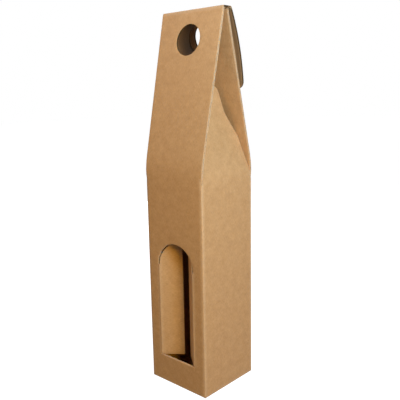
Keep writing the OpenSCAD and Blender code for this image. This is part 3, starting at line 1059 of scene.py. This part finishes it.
fibrous = math_node(fibre, "MULTIPLY", strands.outputs["Fac"], 0.55)
clouded = math_node(fibre, "MULTIPLY", cloud.outputs["Fac"], 0.45)
rough = math_node(fibre, "MULTIPLY", strands.outputs["Fac"], 0.35)
fibre.links.new(math_node(fibre, "ADD", fibrous, clouded), fibre_out.inputs["Shade"])
fibre.links.new(dark, fibre_out.inputs["Specks"])
fibre.links.new(math_node(fibre, "ADD", rough, ripple), fibre_out.inputs["Height"])
print("kraft_fibre group:", len(fibre.nodes), "nodes")

# %% [markdown]
# A second group turns the wear and rim attributes into one mask. Worn paper is never even, so a noise
# breaks the mask up. All four finishes use it, each with its own strength, so it is built once.

# %% The wear group
worn, worn_in, worn_out = new_group(
    "fold_wear",
    [("Blank", VECTOR, None), ("Wear", FLOAT, 0.0), ("Rim", FLOAT, 0.0), ("Strength", FLOAT, 1.0)],
    [("Pale", FLOAT)])
patch = add_node(worn, "ShaderNodeTexNoise",
                 inputs={"Vector": worn_in.outputs["Blank"], "Scale": 420.0, "Detail": 4.0, "Roughness": 0.6})
uneven = remap(worn, patch.outputs["Fac"], (0.3, 0.7), (0.45, 1.0))
most = math_node(worn, "MAXIMUM", worn_in.outputs["Wear"], worn_in.outputs["Rim"])
broken = math_node(worn, "MULTIPLY", most, uneven)
paleness = math_node(worn, "MULTIPLY", broken, worn_in.outputs["Strength"], clamp=True)
worn.links.new(paleness, worn_out.inputs["Pale"])
print("fold_wear group:", len(worn.nodes), "nodes")

# %% [markdown]
# ## Four finishes
#
# The outer liner, the inner liner, the cut edges and the fluted paper are all kraft, but not the same:
# the inner liner is a little paler and rougher and carries painted shade round the finger holes and
# along the closure flap's side edges, a cut edge is paler and matt, and the fluted paper is painted
# dark, as painted shade of the hollows in an open cut, and pale where the die crushed it. One function
# builds a finish from its two colours, its pale colour and a few strengths, so that the four stay alike.

# %% One kraft finish
GRAIN_SPAN = (0.37, 0.64)  # shades between which the colour goes from deep to light
SPECK_SHARE, SPECK_DEPTH = 0.35, 0.45  # strength of the specks, and their share of the deep colour
PAINTED_SHADE_DEPTH = 0.17  # share of the deep colour that is left where shade is painted
MATT_SPAN, MATT_RANGE = (0.3, 0.7), 0.06  # shades over which the roughness goes from more to less
BUMP_HEIGHT = 0.2 * MM


def kraft_finish(name, deep, light, pale, roughness, wear, bump, washboard, sheen, painted_shade=0.0):
    """A kraft surface with grain, pale where it is worn and darkened where painted shade lies on it."""
    material = bpy.data.materials.new(name)
    tree = bare_tree(material)

    def attribute(label):
        return add_node(tree, "ShaderNodeAttribute", attribute_name=label).outputs

    blank = attribute("blank")["Vector"]
    paper = add_node(tree, "ShaderNodeGroup", node_tree=fibre,
                     inputs={"Blank": blank, "Washboard": washboard})
    crease = add_node(tree, "ShaderNodeGroup", node_tree=worn, inputs={
        "Blank": blank, "Wear": attribute("wear")["Fac"],
        "Rim": attribute("rim")["Fac"], "Strength": wear})
    ramp = add_node(tree, "ShaderNodeValToRGB", inputs={0: paper.outputs["Shade"]})
    for element, position, shade in zip(ramp.color_ramp.elements, GRAIN_SPAN, (deep, light)):
        element.position = position
        element.color = (*shade, 1.0)
    specks = math_node(tree, "MULTIPLY", paper.outputs["Specks"], SPECK_SHARE)
    colour = blend_over(tree, specks, ramp.outputs[0], [c * SPECK_DEPTH for c in deep])
    colour = blend_over(tree, crease.outputs["Pale"], colour, pale)
    # painted shade: the colour darkens towards the deep colour by the shade attribute
    if painted_shade:
        shade_mask = attribute("painted_shade")["Fac"]
        shade_share = math_node(tree, "MULTIPLY", shade_mask, painted_shade)
        colour = blend_over(tree, shade_share, colour, [c * PAINTED_SHADE_DEPTH for c in deep])
    matt = remap(tree, paper.outputs["Shade"], MATT_SPAN, (roughness + MATT_RANGE, roughness - MATT_RANGE))
    height = add_node(tree, "ShaderNodeBump", inputs={
        "Strength": bump, "Distance": BUMP_HEIGHT, "Height": paper.outputs["Height"]})
    shader = add_node(tree, "ShaderNodeBsdfPrincipled", inputs={
        "Base Color": colour, "Roughness": matt, "Normal": height.outputs[0], "Specular IOR Level": sheen})
    add_node(tree, "ShaderNodeOutputMaterial", inputs={0: shader.outputs[0]})
    return material


print("finishes are built from the groups", fibre.name, "and", worn.name)

# %% The four finishes
finishes = [
    kraft_finish("kraft_outer_liner", (0.43, 0.222, 0.083), (0.575, 0.318, 0.13), (0.68, 0.45, 0.25),
                 roughness=0.62, wear=0.42, bump=0.35, washboard=0.25, sheen=0.12),
    # the inner liner carries the painted shade
    kraft_finish("kraft_inner_liner", (0.48, 0.25, 0.094), (0.63, 0.352, 0.146), (0.66, 0.42, 0.22),
                 roughness=0.7, wear=0.35, bump=0.4, washboard=0.3, sheen=0.45, painted_shade=1.0),
    kraft_finish("kraft_cut_edge", (0.52, 0.31, 0.15), (0.66, 0.43, 0.235), (0.72, 0.50, 0.30),
                 roughness=0.85, wear=0.6, bump=0.6, washboard=0.0, sheen=0.08),
    # the fluted paper's deep and light colours are painted shade of the hollows in an open cut; where crushed
    # it turns pale
    kraft_finish("kraft_fluted_paper_and_painted_shade", (0.08, 0.042, 0.016), (0.14, 0.076, 0.03), (0.66, 0.42, 0.22),
                 roughness=0.85, wear=1.0, bump=0.5, washboard=0.0, sheen=0.05),
]
print("finishes:", [finish.name for finish in finishes])

# %% [markdown]
# ## On their bodies
#
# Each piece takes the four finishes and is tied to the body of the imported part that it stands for.
# Objects could be parented by hand for one pose. Tied to bodies, they follow the joints at every pose.

# %% Dress the pieces and hang them on their bodies
pieces = {"carton": carton_board, "closure_flap": closure_board,
          "left_window_flap": window_boards["left"], "right_window_flap": window_boards["right"]}
for node_name, piece in pieces.items():
    for finish in finishes:
        piece.data.materials.append(finish)
    used = np.zeros(len(piece.data.polygons), np.int32)
    piece.data.polygons.foreach_get("material_index", used)
    print(node_name, "faces per finish:", np.bincount(used, minlength=len(finishes)).tolist())
    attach(piece, node_name)
    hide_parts(node_name)
    print(node_name, "is shown as", piece.name)

# %% [markdown]
# ## Stage and light
#
# The box stands on a plain floor, and the world behind it is white. A white floor would need far more
# light than the box does, so this one is grey and glows only where the camera sees it, straight or in
# a gloss, and lights nothing else. Most of the light comes from the right, so the right wall is the
# bright one. Its key lamp is warm, with cooler lamps near the roof, beside the wall and over the
# front, so the box is cooler towards its top. A warm fill from the left lights the front, and two
# plain fills light the back and the left wall for views from behind.

# %% Floor and backdrop
FLOOR = 6.0  # half of the floor's width, in metres
FLOOR_GLOW = 0.97  # how white the floor shows itself
AMBIENT = 0.01  # light of the world on the box


def seen_rays(tree):
    """One for rays from the camera, straight, off gloss or through glass, and zero for others."""
    rays = add_node(tree, "ShaderNodeLightPath").outputs
    seen = math_node(tree, "MAXIMUM", rays["Is Camera Ray"], rays["Is Glossy Ray"])
    return math_node(tree, "MAXIMUM", seen, rays["Is Transmission Ray"])


floor_material = bpy.data.materials.new("white_floor")
floor_tree = bare_tree(floor_material)
glow = math_node(floor_tree, "MULTIPLY", seen_rays(floor_tree), FLOOR_GLOW)
floor_shader = add_node(floor_tree, "ShaderNodeBsdfPrincipled", inputs={
    "Base Color": (0.3, 0.3, 0.3, 1.0), "Roughness": 0.9, "Specular IOR Level": 0.1,
    "Emission Color": (1.0, 1.0, 1.0, 1.0), "Emission Strength": glow})
add_node(floor_tree, "ShaderNodeOutputMaterial", inputs={0: floor_shader.outputs[0]})
floor_mesh = bpy.data.meshes.new("floor")
floor_corners = [(x * FLOOR, y * FLOOR, 0) for x, y in ((-1, -1), (1, -1), (1, 1), (-1, 1))]
floor_mesh.from_pydata(floor_corners, [], [(0, 1, 2, 3)])
floor_mesh.materials.append(floor_material)
floor = placed("floor", floor_mesh)

world = bpy.data.worlds.new("studio")
bpy.context.scene.world = world
sky = bare_tree(world)
level = remap(sky, seen_rays(sky), (0.0, 1.0), (AMBIENT, 1.0))
backdrop = add_node(sky, "ShaderNodeBackground", inputs={"Color": (1, 1, 1, 1), "Strength": level})
add_node(sky, "ShaderNodeOutputWorld", inputs={0: backdrop.outputs[0]})
print(f"a floor {2 * FLOOR:.0f} m wide, and a world that lights the box by {AMBIENT}")

# %% Lamps


def lamp(name, place, target, size, power, color=(1, 1, 1)):
    """A square soft light at a place, in metres, turned to a target."""
    data = bpy.data.lights.new(name, "AREA")
    data.shape = "SQUARE"
    data.size = size
    data.energy = power
    data.color = color
    obj = placed(name, data)
    obj.location = place
    obj.rotation_mode = "QUATERNION"
    obj.rotation_quaternion = (Vector(target) - Vector(place)).to_track_quat("-Z", "Y")


lamp("warm_key_on_the_right", (0.71, -0.366, 0.43), (0, 0, 0.28), 0.25, 3.32, (1.4, 0.98, 0.08))
lamp("cool_key_near_the_roof", (0.429, -0.191, 0.531), (0, 0, 0.36), 0.2, 1.68, (0.42, 1.08, 1.9))
lamp("cool_light_beside_the_wall", (0.883, -0.156, 0.358), (0, 0, 0.28), 0.4, 1.88, (0.62, 0.85, 1.98))
lamp("cool_light_over_the_front", (0.062, -0.233, 0.724), (0, 0, 0.38), 0.15, 0.89, (0.89, 1.06, 1.6))
lamp("warm_fill_on_the_left", (-0.267, -0.732, 0.73), (0, 0, 0.28), 0.4, 1.1, (1.6, 0.85, 0.1))
lamp("fill_behind", (0.0, 1.1, 0.45), (0, 0, 0.2), 0.6, 9.0)
lamp("fill_beside_the_left_wall", (-0.95, 0.55, 0.25), (0, 0, 0.2), 0.5, 5.5)
print("lamps:", [light.name for light in bpy.data.lights])

# %% [markdown]
# ## Camera
#
# The camera stands where the photo was taken from: to the right of the front, as high as the roof and
# looking down a little, and rolled by about a degree. The numbers come from a fit of the box's edges.

# %% The camera
AZIMUTH, ELEVATION, ROLL = (math.radians(a) for a in (42.56, 10.93, -1.09))
EYE = (425.9, -462.5, 336.4)  # in millimetres
LENS, SENSOR = 50.08, 36.0  # focal length and width of the picture, in millimetres
SHIFT = -0.0006  # shift of the picture sideways, as a share of its width
flat_share = math.cos(ELEVATION)
away = Vector((math.sin(AZIMUTH) * flat_share, -math.cos(AZIMUTH) * flat_share, math.sin(ELEVATION)))
level_right = Vector((math.cos(AZIMUTH), math.sin(AZIMUTH), 0))
level_up = away.cross(level_right)
rolled_right = math.cos(ROLL) * level_right + math.sin(ROLL) * level_up
rolled_up = away.cross(rolled_right)
camera_data = bpy.data.cameras.new("camera")
camera_data.sensor_width = SENSOR
camera_data.lens = LENS
camera_data.shift_x = SHIFT
camera_data.clip_start = 0.05
camera = placed("camera", camera_data)
turn = Matrix((rolled_right, rolled_up, away)).transposed()
camera.matrix_world = Matrix.Translation(Vector(EYE) * MM) @ turn.to_4x4()
bpy.context.scene.camera = camera
bpy.context.scene.view_settings.view_transform = "Standard"
print(f"the camera is {Vector(EYE).length * MM:.2f} m from the foot of the box")
